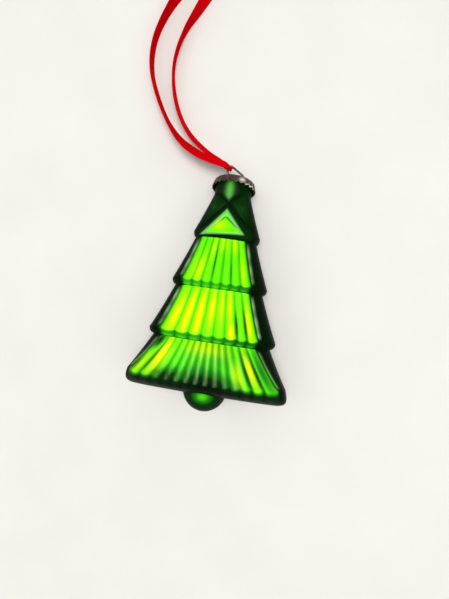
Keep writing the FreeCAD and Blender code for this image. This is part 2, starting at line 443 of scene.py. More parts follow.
def new_material(name):
    material = bpy.data.materials.new(name)
    material.use_nodes = True
    return material, material.node_tree, material.node_tree.nodes["Principled BSDF"]


def node(tree, kind, **settings):
    made = tree.nodes.new(kind)
    for key, value in settings.items():
        setattr(made, key, value)
    return made


def read_number(tree, name):
    return node(tree, "ShaderNodeAttribute", attribute_name=name).outputs["Fac"]


def ramp(tree, source, stops):
    """A colour ramp on a number."""
    made = node(tree, "ShaderNodeValToRGB")
    elements = made.color_ramp.elements
    while len(elements) < len(stops):
        elements.new(0.5)
    for element, (place, colour) in zip(elements, stops):
        element.position = place
        element.color = (*colour, 1.0)
    tree.links.new(source, made.inputs["Fac"])
    return made.outputs["Color"]


def noise(tree, scale, detail=2.0, stretch=(1, 1, 1)):
    """Noise over the piece, scale in cells for each metre."""
    place = node(tree, "ShaderNodeTexCoord")
    mapping = node(tree, "ShaderNodeMapping")
    mapping.inputs["Scale"].default_value = stretch
    texture = node(tree, "ShaderNodeTexNoise")
    texture.inputs["Scale"].default_value = scale
    texture.inputs["Detail"].default_value = detail
    tree.links.new(place.outputs["Object"], mapping.inputs["Vector"])
    tree.links.new(mapping.outputs["Vector"], texture.inputs["Vector"])
    return texture.outputs["Fac"]


def spread_to(tree, source, low, high):
    """A number from 0 to 1 spread between low and high."""
    made = node(tree, "ShaderNodeMapRange")
    made.inputs["To Min"].default_value = low
    made.inputs["To Max"].default_value = high
    tree.links.new(source, made.inputs["Value"])
    return made.outputs["Result"]


def bump(tree, shader, height, distance):
    made = node(tree, "ShaderNodeBump")
    made.inputs["Distance"].default_value = distance
    tree.links.new(height, made.inputs["Height"])
    tree.links.new(made.outputs["Normal"], shader.inputs["Normal"])


def blend_in(tree, share, base, colour):
    """A colour mixed into another by a share from 0 to 1."""
    mix = node(tree, "ShaderNodeMix", data_type="RGBA")
    tree.links.new(share, mix.inputs["Factor"])
    tree.links.new(base, mix.inputs["A"])
    mix.inputs["B"].default_value = (*colour, 1.0)
    return mix.outputs["Result"]


def glass_material():
    """Satin green lacquer over silvered glass. Its colour carries painted light and shade: near black
    to lime by the painted brightness, with yellow painted glints and pale painted highlights.
    """
    material, tree, shader = new_material("frosted_green_glass")
    green = ramp(
        tree,
        read_number(tree, "bright"),
        [
            (0.0, (0.0003, 0.0022, 0.0005)),
            (0.2, (0.002, 0.028, 0.002)),
            (0.45, (0.012, 0.20, 0.006)),
            (0.7, (0.07, 0.62, 0.003)),
            (0.9, (0.165, 0.93, 0.002)),
        ],
    )
    with_glints = blend_in(tree, read_number(tree, "yellow"), green, (0.80, 1.0, 0.0))
    with_highlights = blend_in(tree, read_number(tree, "pale"), with_glints, (0.34, 0.58, 0.25))
    tree.links.new(with_highlights, shader.inputs["Base Color"])
    shader.inputs["Metallic"].default_value = 0.2
    shader.inputs["Specular IOR Level"].default_value = 0.04
    shader.inputs["Specular Tint"].default_value = (0.12, 0.22, 0.10, 1.0)
    shader.inputs["Coat Weight"].default_value = 0.02
    shader.inputs["Coat Roughness"].default_value = 0.25
    tree.links.new(spread_to(tree, noise(tree, 900.0), 0.40, 0.50), shader.inputs["Roughness"])
    bump(tree, shader, noise(tree, 5200.0, 3.0), 0.00003)
    return material


def metal_material(name, dark, light, roughness):
    """Metal with cloudy tarnish and fine rubbing marks, with near-white painted glints where the cap
    is painted with them.
    """
    material, tree, shader = new_material(name)
    colour = ramp(tree, noise(tree, 420.0, 4.0), [(0.3, dark), (0.7, light)])
    colour = blend_in(tree, read_number(tree, "cap_glint"), colour, (0.95, 0.9, 0.84))
    tree.links.new(colour, shader.inputs["Base Color"])
    shader.inputs["Metallic"].default_value = 1.0
    tree.links.new(
        spread_to(tree, noise(tree, 700.0, 3.0, (1, 6, 1)), roughness - 0.08, roughness + 0.1),
        shader.inputs["Roughness"],
    )
    bump(tree, shader, noise(tree, 1800.0, 3.0, (1, 5, 1)), 0.00002)
    return material


def ribbon_material():
    """Red satin with fine threads across the ribbon."""
    material, tree, shader = new_material("red_satin")
    across = read_number(tree, "across")
    along = read_number(tree, "along")
    join = node(tree, "ShaderNodeCombineXYZ")
    tree.links.new(across, join.inputs["X"])
    tree.links.new(along, join.inputs["Y"])
    threads = node(tree, "ShaderNodeTexWave", wave_type="BANDS", bands_direction="Y")
    threads.inputs["Scale"].default_value = 1.1
    threads.inputs["Distortion"].default_value = 0.6
    tree.links.new(join.outputs["Vector"], threads.inputs["Vector"])
    colour = ramp(tree, threads.outputs["Fac"], [(0.0, (0.31, 0.0, 0.001)), (1.0, (0.66, 0.001, 0.005))])
    tree.links.new(colour, shader.inputs["Base Color"])
    shader.inputs["Roughness"].default_value = 0.6
    shader.inputs["Specular IOR Level"].default_value = 0.0
    shader.inputs["Sheen Weight"].default_value = 0.35
    shader.inputs["Sheen Roughness"].default_value = 0.35
    shader.inputs["Sheen Tint"].default_value = (1.0, 0.03, 0.03, 1.0)
    bump(tree, shader, threads.outputs["Fac"], 0.00003)
    return material


def floor_material():
    material, tree, shader = new_material("pale_floor")
    colour = ramp(tree, noise(tree, 30.0, 3.0), [(0.2, (0.57, 0.56, 0.545)), (0.8, (0.61, 0.60, 0.585))])
    tree.links.new(colour, shader.inputs["Base Color"])
    shader.inputs["Roughness"].default_value = 0.6
    return material


# Glass body.

# A row round the wall. Its place is 0 to 1 down its tier, and 1 to 2 round the tier's lip. Relief is
# the share of the ribs' depth there, and raised how far the row stands up on the face.
Row = namedtuple("Row", "level half_width half_depth fullness flat tier place relief raised")


def relief_past_lip(share):
    """The share of the ribs' depth that is left this far round a lip."""
    return 1.0 - float(smooth(share, 0.0, 0.7))


def neck_rows():
    rows = []
    for share in np.linspace(0, 1, NECK_ROWS):
        level = RIM_LEVEL + (NECK_BASE_LEVEL - RIM_LEVEL) * share
        rows.append(Row(level, NECK_RADIUS, NECK_RADIUS, ROUND, NECK_FLAT, NECK, share, 0.0, 0.0))
    return rows


def face_rows(number, tier, top):
    """Rows of a tier from the row above it down to its lip."""
    rows = []
    for share in np.linspace(0, 1, TIER_ROWS)[1:]:
        flare = share + TIER_FLARE * (share**2 - share)
        rows.append(Row(
            top.level + (tier.lip - top.level) * share,
            top.half_width + (tier.half_width - top.half_width) * flare,
            top.half_depth + (tier.half_depth - top.half_depth) * flare,
            top.fullness + (tier.fullness - top.fullness) * share,
            tier.flat_top + (tier.flat_lip - tier.flat_top) * share,
            number,
            share,
            float(smooth(share, 0.0, 0.1)),
            tier.raised * float(smooth(share, 0.3, 1.0)),
        ))
    return rows


def ledge_rows(number, tier):
    """Rows of the ledge round and under a tier's lip."""
    rows = []
    for share in np.linspace(0, 1, LEDGE_ROWS)[1:]:
        turn = math.pi * share / 2
        narrowing = (1 - LEDGE_SHARE) * (1 - math.cos(turn))
        rows.append(Row(
            tier.lip - LEDGE_HEIGHT * math.sin(turn),
            tier.half_width * (1 - narrowing),
            tier.half_depth * (1 - narrowing * LEDGE_DEPTH_RATE),
            tier.fullness,
            tier.flat_lip,
            number,
            1.0 + share,
            relief_past_lip(share),
            tier.raised * (1 - share),
        ))
    return rows


def nose_rows():
    """Rows round the bottom edge."""
    rows = []
    places, widths = zip(*NOSE_OUTLINE)
    for share in np.sin(np.linspace(0, math.pi / 2, NOSE_ROWS))[1:]:
        rows.append(Row(
            HEM_LEVEL - NOSE_HEIGHT * share,
            float(np.interp(share, places, widths)),
            HEM_HALF_DEPTH * math.sqrt(max(1 - share**2, 0.0)) + NOSE_END_DEPTH,
            HEM_FULLNESS - NOSE_ROUNDING * share,
            HEM_FLAT,
            len(TIERS),
            1.0 + share,
            relief_past_lip(share),
            0.0,
        ))
    return rows


def tier_rows():
    """Rows of the blown wall from the rim down to the bottom edge."""
    rows = neck_rows()
    for number, tier in enumerate(TIERS):
        rows += face_rows(number, tier, rows[-1])
        if number < LAST_TIER:
            rows += ledge_rows(number, tier)
    return rows


def section(half_width, half_depth, fullness, flat):
    """Points round one row: front face from right to left, left wall, back face, right wall. Gives x
    and out."""
    across = np.linspace(1, -1, FACE_COLUMNS)
    face_x = half_width * flat * across
    face_out = half_depth * (1 - np.abs(face_x / half_width) ** fullness) ** (1 / fullness)
    corner = np.arccos(flat ** (fullness / 2))
    turn = corner * (np.linspace(1, -1, WALL_COLUMNS + 2)[1:-1])
    bend = np.sign(turn) * np.abs(turn) ** WALL_BUNCHING / corner ** (WALL_BUNCHING - 1)
    wall_x = half_width * np.cos(bend) ** (2 / fullness)
    wall_out = half_depth * np.sign(bend) * np.abs(np.sin(bend)) ** (2 / fullness)
    x = np.concatenate([face_x, -wall_x, -face_x, wall_x])
    out = np.concatenate([face_out, wall_out, -face_out, -wall_out])
    return x, out


def groove(distance, width):
    """A soft valley, 1 along its middle."""
    return np.exp(-((distance / width) ** 2))


def slanted_groove(side, above, line, width):
    """A soft valley along a slanted line that starts in the middle of the face."""
    slope, cosine = line
    return groove((side + above * slope) * cosine, width)


def patches(table, tier, across, level):
    """The strongest of a tier's lacquer patches at each point."""
    strongest = np.zeros_like(across)
    for number, place, middle, width, height, strength in table:
        if number == tier:
            patch = groove(across - place, width) * groove(level - middle, height) * strength
            strongest = np.maximum(strongest, patch)
    return strongest


def rib_crests(across, tier):
    """1 along the crest of each rib and 0 in the grooves, with plain wall outside the outer ribs."""
    spread = (1 + tier.fanning) * across - tier.fanning * across**3 - tier.skew * (1 - across**2)
    place = (spread + 1) / 2 * tier.ribs
    crest = np.abs(np.sin(math.pi * place)) ** RIB_BLUNTNESS
    return np.where(np.abs(across) < 1, crest, smooth(np.abs(across), 1.0, 1.06))


def panel_parts(x, level):
    """Parts of the top tier's face: how far inside the raised panel each point is, the crossing
    valleys above it, and the narrow chevron on it."""
    level = level - (x - FACE_MIDDLE) * PANEL_SLANT
    side = np.abs(x - FACE_MIDDLE)
    reach = side * np.where(x > FACE_MIDDLE, PANEL_RIGHT_NARROWING, 1.0)
    slope = PANEL_HALF_WIDTH / (PANEL_APEX_LEVEL - PANEL_BASE_LEVEL)
    edge = (PANEL_APEX_LEVEL - level) * slope - reach
    above_base = PANEL_BASE_STEEPNESS * (level - PANEL_BASE_LEVEL) + PANEL_BASE_MARGIN
    inside = np.minimum(edge / math.hypot(1, slope), above_base)
    upper = slanted_groove(side, level - CROSSING_LEVEL, UPPER_VALLEY, VALLEY_WIDTH)
    lower = slanted_groove(side, level - CROSSING_LEVEL, LOWER_VALLEY, VALLEY_WIDTH)
    valley = np.where(level > CROSSING_LEVEL, upper, lower) * smooth(level, -15.4, -13.0)
    chevron = slanted_groove(side, level - CHEVRON_LEVEL, CHEVRON, CHEVRON_WIDTH)
    chevron = chevron * smooth(-level, 9.6, 10.2) * (1 - smooth(side, 3.6, 4.8))
    return inside, valley, chevron


def rim_slant(row, out):
    """How far the slanted rim lifts the neck's rows: most at the rim, and not at all at its root."""
    return out * math.tan(RIM_SLANT) * (row.tier == NECK) * (1 - row.place)


def pattern(row, x, across, facing):
    """How far the mould's pattern stands out of a row, and how near each point is to a rib's crest."""
    crest = np.ones_like(x)
    if row.tier == NECK:
        return np.zeros_like(x), crest
    if row.tier == 0:
        inside, valley, chevron = panel_parts(x, np.full_like(x, row.level))
        height = PANEL_HEIGHT * smooth(inside, -0.3, 0.9) - VALLEY_DEPTH * valley - CHEVRON_DEPTH * chevron
        return height * smooth(facing, 0.5, 0.85) * (1 - float(smooth(row.place, 1.0, 1.6))), crest
    crest = rib_crests(across, TIERS[min(row.tier, LAST_TIER)])
    return -RIB_DEPTH * row.relief * (1 - crest), crest


def glass_points():
    """The outside of the glass: points of each row, with the lacquer's brightness, yellowness and
    paleness at each, which paint its light and shade."""
    points = []
    looks = []
    for row in tier_rows() + nose_rows():
        x, out = section(row.half_width, row.half_depth, row.fullness, row.flat)
        across = (x - FACE_MIDDLE) / (row.half_width * row.flat + FACE_MIDDLE)
        facing = np.abs(out) / row.half_depth
        height, crest = pattern(row, x, across, facing)
        scallop = RIB_SCALLOP * (1 - crest) * float(smooth(row.place, 0.85, 1.0)) * (row.place <= 1.5)
        levels = row.level + row.raised * smooth(facing, 0.4, 0.9) + scallop + rim_slant(row, out)
        out = out + np.sign(out) * height * smooth(facing, 0.1, 0.6)
        points.append(to_row(x, levels, out))
        looks.append(lacquer(row, x, across, crest))
    return np.array(points), np.array(looks)


def lacquer(row, x, across, crest):
    """Brightness, yellowness and paleness of the lacquer round one row, all painted light and shade:
    near black painted shade on the walls, deep green painted shade in the grooves and under the
    ledges, lime on the lit faces, and pale painted highlights along the corners."""
    level = np.full_like(x, row.level)
    place = row.place
    share = x / row.half_width
    if row.tier == NECK:
        return neck_lacquer(place, share)
    if row.tier == 0:
        return panel_lacquer(place, level, x, share)
    beyond = np.abs(x - FACE_MIDDLE) - (row.half_width * row.flat + FACE_MIDDLE)
    face = 1 - smooth(beyond, -0.3, 0.5)
    under = ledge_shade(row.tier, place, share, crest)
    # Patches of painted shade darken the ribs.
    shaded = patches(SHADE_PATCHES, min(row.tier, LAST_TIER), across, level)
    # Painted yellow glints on the ribs, strongest on their crests.
    glinting = patches(GLINT_PATCHES, min(row.tier, LAST_TIER), across, level)
    centre = groove(share, HEM_CENTRE_WIDTH) * (row.tier >= LAST_TIER)
    bright = (GROOVE_BRIGHT + CREST_BRIGHT * crest) * under * (1 - shaded) * (1 - HEM_CENTRE_SHADE * centre)
    bright = WALL_BRIGHT + (bright - WALL_BRIGHT) * face
    on_crest = YELLOW_IN_GROOVES + (1 - YELLOW_IN_GROOVES) * crest**2
    yellow = glinting * on_crest * face * (place <= 1.1) * (1 - shaded)
    reach = smooth(place, 0.02, 0.15) * (1 - smooth(place, 0.86, 0.97))
    # The corner line is a pale painted highlight, brighter on the right of the lower tiers.
    line = groove(beyond - CORNER_LINE, CORNER_LINE_WIDTH) * reach
    if row.tier >= LAST_TIER:
        bright = np.maximum(bright, HEM_LINE_BRIGHT * line * smooth(place, 0.3, 0.6))
        ripple = np.sin(RIDGE_RIPPLE_ACROSS * x + RIDGE_RIPPLE_ALONG * level) ** 2
        ridge = (RIDGE_PALE + RIDGE_PALE_RIPPLE * ripple) * smooth(place, 0.1, 0.4) * crest**RIDGE_SHARPNESS
        pale = np.maximum(HEM_LINE_PALE * line, ridge * centre * face)
        return bright, yellow, pale * (place <= 1.2)
    right_line = RIGHT_LINE_BRIGHT * line * (row.tier - 1) * smooth(place, 0.4, 0.8) * (x > 0)
    pale = (LINE_PALE + LINE_PALE_RIPPLE * np.sin(LINE_RIPPLE_RATE * level + row.tier)) * line
    return np.maximum(bright, right_line), yellow, pale


def neck_lacquer(place, share):
    """The same for the neck: dark painted shade, with one pale painted highlight down it."""
    gloss = groove(share - HIGHLIGHT_PLACE, HIGHLIGHT_WIDTH)
    pale = HIGHLIGHT_PALE * gloss * float(smooth(place, 0.2, 0.8))
    return NECK_BRIGHT + NECK_HIGHLIGHT_BRIGHT * gloss, np.zeros_like(share), pale


def ledge_shade(tier, place, share, crest):
    """How much of a face's brightness is left from the tips of its ribs down to the next tier: painted
    shade under the ledge, with painted glints on the ribs' ends.
    """
    if tier >= LAST_TIER:
        return 1 - HEM_UNDER_SHADE * float(smooth(place, 1.0, 1.45))
    below = float(smooth(place, 0.95, 1.25))
    glint = LEDGE_GLINT * crest * float(groove(place - LEDGE_GLINT_PLACE, LEDGE_GLINT_WIDTH))
    depth = LEDGE_SHADE + LEDGE_SHADE_RIGHT * smooth(share, 0.0, 0.7) + LEDGE_SHADE_STEP * (tier - 1)
    return 1 - depth * below + glint


def panel_lacquer(place, level, x, share):
    """The same as lacquer() for the top tier."""
    inside, valley, chevron = panel_parts(x, level)
    panel = smooth(inside, -0.5, 0.4)
    core = smooth(inside, 0.4, 1.7)
    # The neck's painted highlight runs on down the top tier.
    highlight = groove(share - HIGHLIGHT_PLACE, HIGHLIGHT_WIDTH - HIGHLIGHT_TAPER * smooth(-level, 1.0, 4.5))
    highlight = highlight * smooth(level, -5.2, -2.5) * (1 - valley)
    side = np.abs(x - FACE_MIDDLE)
    facets = groove(side - FACET_SIDE, FACET_WIDTH) * groove(level - FACET_LEVEL, FACET_HEIGHT)
    facets = facets * (1 - panel) * (1 - valley)
    bright = TOP_BRIGHT + PANEL_BRIGHT * panel + CORE_BRIGHT * core - CHEVRON_SHADE * chevron * panel
    bright = bright + HIGHLIGHT_BRIGHT * highlight + FACET_BRIGHT * facets - VALLEY_SHADE * valley
    bright = bright * (1 - TOP_SIDE_SHADE * smooth(np.abs(share), 0.68, 0.88))
    under = 1 - TOP_UNDER_SHADE * float(smooth(place, 1.0, 1.9))
    edge = panel * (1 - core) * (0.6 + 0.4 * smooth(inside, -0.3, 0.3))
    corner = groove(side - PANEL_CORNER_SIDE, PANEL_CORNER_WIDTH) * panel
    corner = corner * groove(level - PANEL_CORNER_LEVEL, PANEL_CORNER_HEIGHT)
    pale = np.maximum(PANEL_EDGE_PALE * edge, HIGHLIGHT_PALE * highlight)
    pale = np.maximum(pale, PANEL_CORNER_PALE * corner)
    # Painted yellow glints on the panel's core.
    yellow = patches(GLINT_PATCHES, 0, share, level) * core
    return np.clip(bright, TOP_DARKEST, 1) * under, yellow, pale


def inner_points():
    """The inside of the glass, plain and a wall's thickness in."""
    points = []
    lowest = HEM_LEVEL - NOSE_HEIGHT + WALL
    for row in tier_rows()[::INNER_STEP] + nose_rows()[::INNER_STEP]:
        half_depth = max(row.half_depth - WALL, THINNEST_INSIDE)
        x, out = section(row.half_width - WALL, half_depth, row.fullness, row.flat)
        levels = max(row.level, lowest) + rim_slant(row, out)
        points.append(to_row(x[::INNER_STEP], levels[::INNER_STEP], out[::INNER_STEP]))
    return np.array(points)


def trunk_points():
    """The round bulb below the tree."""
    points = []
    centre = TRUNK_FOOT_LEVEL + TRUNK_RADIUS
    around = np.linspace(0, 2 * math.pi, TRUNK_COLUMNS, endpoint=False)
    for polar in np.linspace(TRUNK_TOP_ANGLE, math.pi, TRUNK_ROWS)[:-1]:
        radius = TRUNK_RADIUS * math.sin(polar)
        level = centre + TRUNK_RADIUS * math.cos(polar)
        points.append(to_row(radius * np.cos(around), level, radius * np.sin(around)))
    return np.array(points)


def rim_faces(columns, inner_start, inner_columns):
    """Faces across the rim, from the outside's first row to the inside's."""
    faces = []
    for place in range(inner_columns):
        after = (place + 1) % inner_columns
        first = place * INNER_STEP
        last = min(first + INNER_STEP, columns)
        far = [column % columns for column in range(last, first - 1, -1)]
        faces.append([inner_start + place, inner_start + after] + far)
    return faces


def bottom_faces(start, columns, outward):
    """Quads that join the front of a row to its back."""
    faces = []
    for place in range(columns // 2 - 1):
        quad = [start + place, start + place + 1, start + columns - 2 - place, start + columns - 1 - place]
        faces.append(quad if outward else quad[::-1])
    return faces


def trunk_faces(rows, columns, start):
    """The bulb's wall with its foot and its top, which is inside the tree."""
    foot = start + (rows - 1) * columns
    top = [start + place for place in range(columns)]
    return grid_faces(rows, columns, start=start) + [[foot + place for place in range(columns)], top[::-1]]


def paint_glass(piece, looks, inner_count, trunk):
    """The lacquer's painted light and shade as worked out on the outside, plain inside, with one soft
    painted highlight on the trunk.
    """
    levels = (trunk - np.array(NECK_ROOT)) @ np.array(TREE_AXIS) / MM
    glow = TRUNK_GLOW * groove(levels - TRUNK_GLOW_LEVEL, TRUNK_GLOW_HEIGHT)
    glow = TRUNK_BRIGHT + glow * groove(trunk[:, :, 0] / MM - TRUNK_GLOW_X, TRUNK_GLOW_WIDTH)
    plain = np.zeros(inner_count + glow.size)
    bright = [looks[:, 0].ravel(), np.full(inner_count, INNER_BRIGHT), glow.ravel()]
    paint(piece, "bright", np.concatenate(bright))
    paint(piece, "yellow", np.concatenate([looks[:, 1].ravel(), plain]))
    paint(piece, "pale", np.concatenate([looks[:, 2].ravel(), plain]))


def glass_body():
    outside, looks = glass_points()
    inside = inner_points()
    trunk = trunk_points()
    rows, columns = outside.shape[:2]
    inner_rows, inner_columns = inside.shape[:2]
    inner_start = rows * columns
    inner_count = inner_rows * inner_columns
    faces = grid_faces(rows, columns)
    faces += [face[::-1] for face in grid_faces(inner_rows, inner_columns, start=inner_start)]
    faces += rim_faces(columns, inner_start, inner_columns)
    # Both walls close along the bottom edge.
    faces += bottom_faces(inner_start - columns, columns, outward=True)
    faces += bottom_faces(inner_start + inner_count - inner_columns, inner_columns, outward=False)
    faces += trunk_faces(*trunk.shape[:2], inner_start + inner_count)
    points = np.concatenate([outside.reshape(-1, 3), inside.reshape(-1, 3), trunk.reshape(-1, 3)])
    piece = add_piece("glass_tree", points, faces, glass_material())
    paint_glass(piece, looks, inner_count, trunk)
    return piece


# Cap.

def cap_outline():
    """The cap's section from the middle of its top to its rim: radius, level, and how crimped it is."""
    top_radii = np.linspace(CAP_CENTRE_RADIUS, CAP_TOP_RADIUS, CAP_TOP_ROWS)
    outline = [(radius, CAP_TOP_LEVEL, 0.0) for radius in top_radii]
    for turn in np.linspace(0, math.pi / 2, CAP_SHOULDER_ROWS)[1:]:
        radius = CAP_TOP_RADIUS + CAP_SHOULDER * math.sin(turn)
        level = CAP_TOP_LEVEL - CAP_SHOULDER * (1 - math.cos(turn))
        outline.append((radius, level, SHOULDER_CRIMP * math.sin(turn) ** 2))
    shoulder_radius = CAP_TOP_RADIUS + CAP_SHOULDER
    shoulder_level = CAP_TOP_LEVEL - CAP_SHOULDER
    for share in np.linspace(0, 1, CAP_SKIRT_ROWS)[1:]:
        radius = shoulder_radius + (CAP_RIM_RADIUS - shoulder_radius) * share
        level = shoulder_level + (CAP_RIM_LEVEL - shoulder_level) * share
        outline.append((radius, level, SHOULDER_CRIMP + (1 - SHOULDER_CRIMP) * share))
    return outline


def lean_back(x, level, out):
    """Points of the cap in the row frame, leant and set back as it sits on the neck."""
    below = CAP_TOP_LEVEL - level
    leant_level = CAP_TOP_LEVEL - below * math.cos(CAP_LEAN) + out * math.sin(CAP_LEAN)
    leant_out = out * math.cos(CAP_LEAN) + below * math.sin(CAP_LEAN) - CAP_SETBACK
    return to_row(x, leant_level, leant_out)


def cap_piece(metal):
    """The cap as sheet metal: its outside down to the rim, then its inside back to the middle."""
    columns = CRIMPS * CRIMP_COLUMNS
    around = np.linspace(0, 2 * math.pi, columns, endpoint=False)
    wave = np.cos(CRIMPS * around)
    pleat = np.sign(wave) * np.abs(wave) ** CRIMP_BLUNTNESS
    rows = []
    glints = []
    outline = cap_outline()
    for inset, order in ((0.0, outline), (CAP_METAL, outline[::-1])):
        for radius, level, crimp in order:
            reach = radius - inset * (level < CAP_TOP_LEVEL - 0.01) + CRIMP_DEPTH * crimp * pleat
            scallop = SCALLOP_DEPTH * pleat * smooth(-level, -CAP_RIM_LEVEL - SCALLOP_REACH, -CAP_RIM_LEVEL)
            height = level + scallop - inset * (level >= CAP_TOP_LEVEL - CAP_TOP_BAND)
            rows.append(lean_back(reach * np.cos(around), height, reach * np.sin(around)))
            glints.append(cap_glint_patches(around, level))
    faces = [face[::-1] for face in grid_faces(len(rows), columns)]
    first = list(range(columns))
    last = [(len(rows) - 1) * columns + place for place in range(columns)]
    faces += [first, last[::-1]]
    piece = add_piece("crimped_cap", np.array(rows), faces, metal)
    paint(piece, "cap_glint", glints)
    return piece


def glint_patch(around, level, patch):
    angle, middle, width, height = patch
    return groove(around - angle, width) * groove(level - middle, height)


def cap_glint_patches(around, level):
    """Painted glints on the cap: a spot on the front of the skirt, and a line along its rim."""
    spot = glint_patch(around, level, GLINT_SPOT)
    rim = GLINT_RIM_STRENGTH * glint_patch(around, level, GLINT_RIM)
    return np.maximum(spot, rim) * (level < CAP_TOP_LEVEL - CAP_TOP_BAND)


def drill_wire_holes(piece):
    """Two round holes through the top of the cap."""
    for side in (-1, 1):
        bpy.ops.mesh.primitive_cylinder_add(
            vertices=DRILL_SIDES, radius=WIRE_HOLE_RADIUS * MM, depth=DRILL_LENGTH * MM
        )
        drill = bpy.context.object
        drill.rotation_mode = "QUATERNION"
        drill.rotation_quaternion = Vector((0, 0, 1)).rotation_difference(TREE_AXIS)
        drill.location = NECK_ROOT + ACROSS * side * WIRE_HOLE_OFFSET * MM + TREE_AXIS * CAP_TOP_LEVEL * MM
        bpy.context.view_layer.update()
        cut = piece.modifiers.new("wire_hole", "BOOLEAN")
        cut.object = drill
        cut.solver = "EXACT"
        shape = bpy.data.meshes.new_from_object(piece.evaluated_get(bpy.context.evaluated_depsgraph_get()))
        piece.modifiers.clear()
        piece.data = shape
        bpy.data.objects.remove(drill)


# Ribbon.

def spline_points(name, route):
    """Points along the smooth NURBS line of a route."""
    curve = bpy.data.curves.new(name, "CURVE")
    curve.dimensions = "3D"
    spline = curve.splines.new("NURBS")
    spline.points.add(len(route) - 1)
    for point, place in zip(spline.points, route):
        point.co = (*place, 1.0)
    spline.order_u = 3
    spline.use_endpoint_u = True
    spline.resolution_u = 24
    line = bpy.data.objects.new(name, curve)
    bpy.context.scene.collection.objects.link(line)
    mesh = bpy.data.meshes.new_from_object(line)
    points = np.array([vertex.co for vertex in mesh.vertices])
    bpy.data.objects.remove(line)
    return points


def distances(points):
    """How far along a line each of its points is."""
    return np.concatenate([[0], np.cumsum(np.linalg.norm(np.diff(points, axis=0), axis=1))])


def evenly_spaced(points, step):
    """The same line with points a step apart, and each one's distance from the start."""
    along = distances(points)
    at = np.linspace(0, along[-1], int(along[-1] / step) + 2)
    return np.stack([np.interp(at, along, points[:, k]) for k in range(3)], axis=1), at


def unit(vectors):
    return vectors / np.linalg.norm(vectors, axis=-1, keepdims=True)


def ribbon_mesh(name, line, widthways, width, curl, material):
    """A flat ribbon along a line, with its own thickness. widthways is its direction across at each
    point, width its width there, and curl how far its edges curl."""
    tangent = unit(np.gradient(line, axis=0))
    widthways = unit(widthways - tangent * np.sum(widthways * tangent, axis=1, keepdims=True))
    normal = np.cross(tangent, widthways)
    places = np.linspace(-1, 1, RIBBON_COLUMNS)
    edge = 1 - EDGE_THINNING * np.abs(places) ** EDGE_SHARPNESS
    rows = []
    for row in range(len(line)):
        rise = curl[row] * (places**2 - CURL_REST)
        middle = line[row] + np.outer(places * width[row] / 2, widthways[row]) + np.outer(rise, normal[row])
        half = np.outer(edge * RIBBON_THICKNESS / 2, normal[row])
        rows.append(np.concatenate([middle + half, (middle - half)[::-1]]))
    points = np.array(rows)
    columns = points.shape[1]
    first = list(range(columns))
    last = [(len(line) - 1) * columns + place for place in range(columns)]
    piece = add_piece(name, points, grid_faces(len(line), columns) + [first, last[::-1]], material)
    spread = np.concatenate([places, places[::-1]]) * RIBBON_WIDTH / 2 / MM
    paint(piece, "across", np.tile(spread, (len(line), 1)))
    paint(piece, "along", np.tile((distances(line) / MM)[:, None], (1, columns)))
    return piece


def tilted_across(line, angle):
    """The ribbon's direction across at each point of a strand, at an angle from lying flat. Where the
    strand starts too steeply to steer it, the first steady direction holds."""
    tangent = unit(np.gradient(line, axis=0))
    ahead = tangent.copy()
    ahead[:, 2] = 0
    steady = np.linalg.norm(ahead, axis=1) > LEVEL_SHARE
    first = int(np.argmax(steady))
    ahead[:first] = ahead[first]
    level_width = np.cross((0, 0, 1), unit(ahead))
    upright = np.cross(tangent, level_width)
    upright[:first] = upright[first]
    return level_width * np.cos(angle)[:, None] + upright * np.sin(angle)[:, None]


def strand(name, cord_node, route, tilts, material):
    """Half of the ribbon loop, from the hanger's eye to the knot."""
    line, along = evenly_spaced(spline_points(name, route), RIBBON_STEP)
    angle = np.radians(np.interp(along, *zip(*tilts)))
    at_eye = 1 - EYE_GATHER * (1 - smooth(along, 0.002, 0.021))
    at_knot = 1 - KNOT_GATHER * smooth(along, along[-1] - 0.011, along[-1] - 0.002)
    threaded = 1 - THREADED_NARROWING * (1 - smooth(along, 0.0010, 0.0045))
    width = RIBBON_WIDTH * at_eye * at_knot * threaded
    curl = RIBBON_CURL + EYE_CURL * (1 - smooth(along, 0.002, 0.012))
    # The strand's lower edge stays just above the ground.
    lift = np.maximum(width / 2 * np.sin(angle) + FLOOR_GAP - line[:, 2], 0)
    middle = line + np.outer(lift, (0, 0, 1))
    piece = ribbon_mesh(name, middle, tilted_across(line, angle), width, curl, material)
    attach(piece, "hanger")
    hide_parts(cord_node)


def knot_band(centre, material):
    """The band wound round the knot."""
    turns = np.linspace(0, 1, BAND_POINTS)
    angle = 2 * math.pi * BAND_TURNS * turns + BAND_START
    radius = BAND_RADIUS + BAND_BULGE * np.sin(math.pi * turns)
    coil = np.stack([
        centre[0] + radius * BAND_WIDENING * np.cos(angle),
        centre[1] - BAND_LENGTH / 2 + BAND_LENGTH * turns,
        centre[2] + radius * np.sin(angle),
    ], axis=1)
    across = np.tile(BAND_LEAN, (BAND_POINTS, 1))
    width = np.full(BAND_POINTS, BAND_WIDTH)
    curl = np.full(BAND_POINTS, BAND_CURL)
    return ribbon_mesh("ribbon_knot_wrap", coil, across, width, curl, material)


